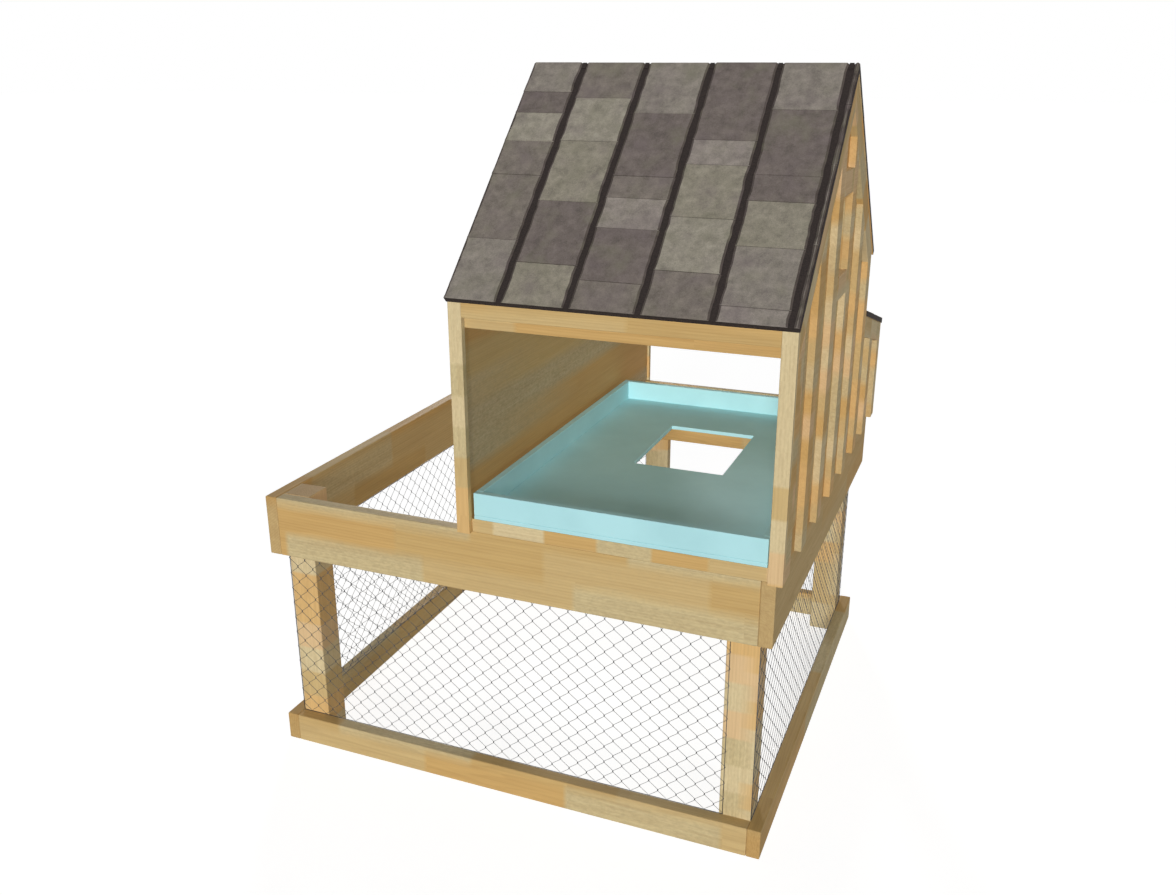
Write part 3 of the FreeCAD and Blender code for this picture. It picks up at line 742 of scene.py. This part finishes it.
def slab(mesh, slope, outline, heights, rim_drop, places):
    """A tab or sheet on a slope: square sides, a rim painted darker as shade along its long sides, and a
    top that may fall towards the ridge.
    """
    base, low_top, high_top = heights
    side_place, shaded_rim_place, top_place = places
    first = min(point.y for point, inward in outline)
    last = max(point.y for point, inward in outline)

    def vertex(point, lift):
        x, s = point
        if slope.plumb and s >= slope.length:
            s = slope.length + lift * slope.plumb
        return mesh.verts.new(slope.corner + X_AXIS * x + slope.up * s + slope.normal * lift)

    def ridge_free(point, inward):
        """The way inwards, but along the ridge for a point that lies on it."""
        return Vector((inward.x, 0)) if slope.plumb and point.y >= slope.length else inward

    def top(point):
        return low_top + (high_top - low_top) * (point.y - first) / (last - first)

    rings = [
        [vertex(point, base) for point, inward in outline],
        [vertex(point, top(point) - rim_drop) for point, inward in outline],
        [vertex(point + ridge_free(point, inward), top(point)) for point, inward in outline],
    ]
    mesh.faces.new(reversed(rings[0])).material_index = side_place
    for level, (lower, upper) in enumerate(zip(rings, rings[1:])):
        for step in range(len(outline)):
            following = (step + 1) % len(outline)
            face = mesh.faces.new((lower[step], lower[following], upper[following], upper[step]))
            along_slope = abs(outline[step][0].y - outline[following][0].y) > END_RIM
            # Rims along the slope take the darker tone of painted shade beside the grooves; rims across it
            # take the top's tone
            shaded_rim = shaded_rim_place if along_slope else top_place
            face.material_index = shaded_rim if level else side_place
    mesh.faces.new(rings[-1]).material_index = top_place


def column_spans(width):
    """The left and right edges of the columns between the grooves."""
    edges = [0]
    for groove in range(GROOVE_COUNT):
        centre = GROOVE_FIRST + groove * GROOVE_PITCH
        edges += [centre - GROOVE_WIDTH / 2, centre + GROOVE_WIDTH / 2]
    edges.append(width)
    return list(zip(edges[::2], edges[1::2]))


def random_tabs(draw, length):
    """Tabs of random lengths and tones for one column."""
    tabs = []
    reached = 0
    while reached < length:
        run = draw.uniform(*TAB_LENGTHS)
        tabs.append((run / MM, draw.choice(sorted(SHINGLE_TONES))))
        reached += run
    return tabs


def base_sheet(mesh, draw, slope, spans):
    """The sheet under the tabs, with a stop at the upper end of each groove."""
    sheet = tab_outline(draw, (0, slope.width), (0, slope.length), False)
    slab(mesh, slope, sheet, (0, SHEET_TOP, SHEET_TOP), 0, ALL_BASE)
    stop_range = (slope.length - RIDGE_STOP, slope.length)
    for before, after in zip(spans, spans[1:]):
        stop = tab_outline(draw, (before[1], after[0]), stop_range, False)
        slab(mesh, slope, stop, (SHEET_TOP, STOP_TOP, STOP_TOP), 0, ALL_BASE)


def tab_column(mesh, draw, slope, span, tabs):
    """The tabs of one column from the eave up; the last one runs to the upper end."""
    left, right = span
    tones = sorted(SHINGLE_TONES)
    start = 0
    for run, tone in tabs:
        end = start + run * MM
        last = run == TO_RIDGE or end > slope.length - TAB_LENGTHS[0] / 2
        end = slope.length if last else end
        left_gap = draw.uniform(0, EDGE_SET_BACK)
        right_gap = draw.uniform(0, EDGE_SET_BACK)
        x_range = (left + left_gap if left > 0 else left,
                   right - right_gap if right < slope.width else right)
        low_top = SHINGLE_THICK - draw.uniform(0, TAB_UNEVEN)
        outline = tab_outline(draw, x_range, (start, end if last else end - TAB_SEAM), True)
        heights = (SHEET_TOP, low_top, low_top - TAB_LAP)
        places = (BASE_PLACE, SHADED_RIM_PLACE, FIRST_TONE_PLACE + tones.index(tone))
        slab(mesh, slope, outline, heights, RIM_DROP, places)
        start = end
        if last:
            break


def shingles(roof):
    """One roof's sheet and tabs, in the place of its plain shingles."""
    slope = slope_of(roof)
    draw = random.Random(roof.seed)
    mesh = bmesh.new()
    spans = column_spans(slope.width)
    base_sheet(mesh, draw, slope, spans)
    for column, span in enumerate(spans):
        tabs = roof.columns[column] if roof.columns else random_tabs(draw, slope.length)
        tab_column(mesh, draw, slope, span, tabs)
    if roof.to_rear:
        # A roof that faces the rear mirrors the front one, so its faces are turned outwards
        bmesh.ops.reverse_faces(mesh, faces=mesh.faces[:])
    piece = link(roof.node + "_tabs", mesh, roof.body, "shingles", roof.node)
    put_on(piece, SHINGLE_BASE, SHINGLE_SHADED_RIM, *(SHINGLE_FACES[tone] for tone in sorted(SHINGLE_TONES)))


# Hinge screws: countersunk heads with a cross recess

HEAD_RADIUS = 3.6 * MM
HEAD_RISE = 0.5 * MM
HEAD_SINK = 1.7 * MM
RECESS_ARM = 2.1 * MM
RECESS_HALF = 0.55 * MM
RECESS_DEPTH = 1.1 * MM
HEAD_RINGS = 9
HEAD_SPOKES = 32
HINGE_WIDTH = 76 * MM
BARREL_REACH = 5.5 * MM
LEAF_LENGTH = 36 * MM
LEAF_START = 6 * MM
LEAF_THICK = 2 * MM

# Places of a leaf's screws, as shares of its width and of its length past the barrel
SCREW_PLACES = ((1 / 6, 0.42), (1 / 2, 0.68), (5 / 6, 0.42))


def screw_head(mesh, centre, outward, across):
    """A low dome whose middle is pressed in along a cross, over a countersunk cone."""
    other = outward.cross(across)

    def height(u, v):
        dome = HEAD_RISE * (1 - (u * u + v * v) / HEAD_RADIUS ** 2)
        in_arm = min(abs(u), abs(v)) < RECESS_HALF and max(abs(u), abs(v)) < RECESS_ARM
        return dome - RECESS_DEPTH if in_arm else dome

    top = mesh.verts.new(centre + outward * height(0, 0))
    inner = [top] * HEAD_SPOKES
    for ring_number in range(1, HEAD_RINGS + 1):
        radius = HEAD_RADIUS * ring_number / HEAD_RINGS
        ring = []
        for spoke in range(HEAD_SPOKES):
            turn = 2 * math.pi * spoke / HEAD_SPOKES
            u, v = radius * math.cos(turn), radius * math.sin(turn)
            ring.append(mesh.verts.new(centre + across * u + other * v + outward * height(u, v)))
        for spoke in range(HEAD_SPOKES):
            following = (spoke + 1) % HEAD_SPOKES
            corners = [inner[spoke], ring[spoke], ring[following], inner[following]]
            mesh.faces.new(corners[:3] if inner[spoke] is inner[following] else corners)
        inner = ring
    tip = mesh.verts.new(centre - outward * HEAD_SINK)
    for spoke in range(HEAD_SPOKES):
        mesh.faces.new((inner[(spoke + 1) % HEAD_SPOKES], inner[spoke], tip))


def hinge_screws():
    """Three screws in each leaf of both hinges."""
    joint = next(joint for joint in frame["joints"] if joint["name"] == "nest_lid_hinge")
    axis_point = Vector(joint["pos_m"])
    low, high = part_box("lid_hinge_pins")
    starts = (low.x, high.x - HINGE_WIDTH)
    lid_way = Vector((0, math.cos(LID_SLOPE), -math.sin(LID_SLOPE)))
    lid_up = Vector((0, math.sin(LID_SLOPE), math.cos(LID_SLOPE)))
    leaves = (
        ("lid_hinge_wall_screws", "coop", Z_AXIS, Y_AXIS),
        ("lid_hinge_lid_screws", "lid", lid_way, lid_up),
    )
    for name, body, way, outward in leaves:
        mesh = bmesh.new()
        for start in starts:
            for width_share, length_share in SCREW_PLACES:
                centre = Vector((start + width_share * HINGE_WIDTH, axis_point.y, axis_point.z))
                reach = LEAF_START + length_share * (LEAF_LENGTH - LEAF_START)
                centre += way * reach - outward * (BARREL_REACH - LEAF_THICK)
                screw_head(mesh, centre, outward, X_AXIS)
        put_on(link(name, mesh, body, "hardware"), HARDWARE_METAL)


# Camera: the photograph's place and lens, taken from an image of 1176 by 895

IMAGE_WIDTH = 1176
IMAGE_HEIGHT = 895
FOCAL_PIXELS = 1086.34
LENS_AXIS_PIXEL = (589.84, 442.19)
CAMERA_PLACE = (1.2225, -3.1221, 2.0376)
CAMERA_AZIMUTH = math.radians(21.946)
CAMERA_DIP = math.radians(19.341)
CAMERA_REACH = 200


def make_camera():
    data = bpy.data.cameras.new("camera")
    data.sensor_fit = "HORIZONTAL"
    data.lens = FOCAL_PIXELS / IMAGE_WIDTH * data.sensor_width
    data.shift_x = (IMAGE_WIDTH / 2 - LENS_AXIS_PIXEL[0]) / IMAGE_WIDTH
    data.shift_y = (LENS_AXIS_PIXEL[1] - IMAGE_HEIGHT / 2) / IMAGE_WIDTH
    data.clip_end = CAMERA_REACH
    camera = bpy.data.objects.new("camera", data)
    camera.location = CAMERA_PLACE
    camera.rotation_euler = (math.pi / 2 - CAMERA_DIP, 0, CAMERA_AZIMUTH)
    bpy.context.scene.collection.objects.link(camera)
    bpy.context.scene.camera = camera


# Stage: a pale floor, soft low suns in front and behind, a fill that casts no shadow, and an even world

FLOOR_HALF = 60
FLOOR_TONE = 0.45
FLOOR_GLOW = 0.84
WORLD_LIGHT = 0.10
WHITE = (1, 1, 1, 1)
Sun = namedtuple("Sun", "strength azimuth height casts_shadow")
SUNS = {
    "key": Sun(1.0, math.radians(11), math.radians(14), True),
    "fill": Sun(1.85, math.radians(18), math.radians(14), False),
    "back": Sun(2.2, math.radians(205), math.radians(6), True),
}
SUN_SOFTNESS = math.radians(8)


def seen_directly(tree):
    """One for rays that show the surface to the eye or in a reflection, zero for light that it gives."""
    path = add(tree, "LightPath").outputs
    shown = calc(tree, "MAXIMUM", path["Is Camera Ray"], path["Is Glossy Ray"])
    return calc(tree, "MAXIMUM", shown, path["Is Transmission Ray"])


def make_floor():
    mesh = bmesh.new()
    bmesh.ops.create_grid(mesh, x_segments=2, y_segments=2, size=FLOOR_HALF)
    data = bpy.data.meshes.new("floor")
    mesh.to_mesh(data)
    mesh.free()
    floor = bpy.data.objects.new("floor", data)
    bpy.context.scene.collection.objects.link(floor)
    material, tree, shader = new_material("floor")
    shader.inputs["Base Color"].default_value = (FLOOR_TONE, FLOOR_TONE, FLOOR_TONE, 1)
    shader.inputs["Roughness"].default_value = 1.0
    shader.inputs["Specular IOR Level"].default_value = 0.0
    shader.inputs["Emission Color"].default_value = WHITE
    glow = calc(tree, "MULTIPLY", seen_directly(tree), FLOOR_GLOW)
    tree.links.new(glow, shader.inputs["Emission Strength"])
    put_on(floor, material)


def make_light():
    world = bpy.data.worlds.new("world")
    bpy.context.scene.world = world
    world.use_nodes = True
    tree = world.node_tree
    background = tree.nodes["Background"].inputs
    strength = spread(tree, seen_directly(tree), low=0, high=1, to_low=WORLD_LIGHT, to_high=1.0)
    tree.links.new(strength, background["Strength"])
    background["Color"].default_value = WHITE
    for name, sun in SUNS.items():
        data = bpy.data.lights.new(name, "SUN")
        data.energy = sun.strength
        data.angle = SUN_SOFTNESS
        data.use_shadow = sun.casts_shadow
        light = bpy.data.objects.new(name, data)
        light.rotation_euler = (math.pi / 2 - sun.height, 0, sun.azimuth)
        bpy.context.scene.collection.objects.link(light)
    bpy.context.scene.view_settings.view_transform = "Standard"


# The whole coop on its stage

make_camera()
make_floor()
make_light()
dress_boards()
hinge_screws()
for panel, panel_axis in NET_AXES.items():
    net(panel, panel_axis)
for covered_roof in ROOFS:
    shingles(covered_roof)

bpy.context.view_layer.update()
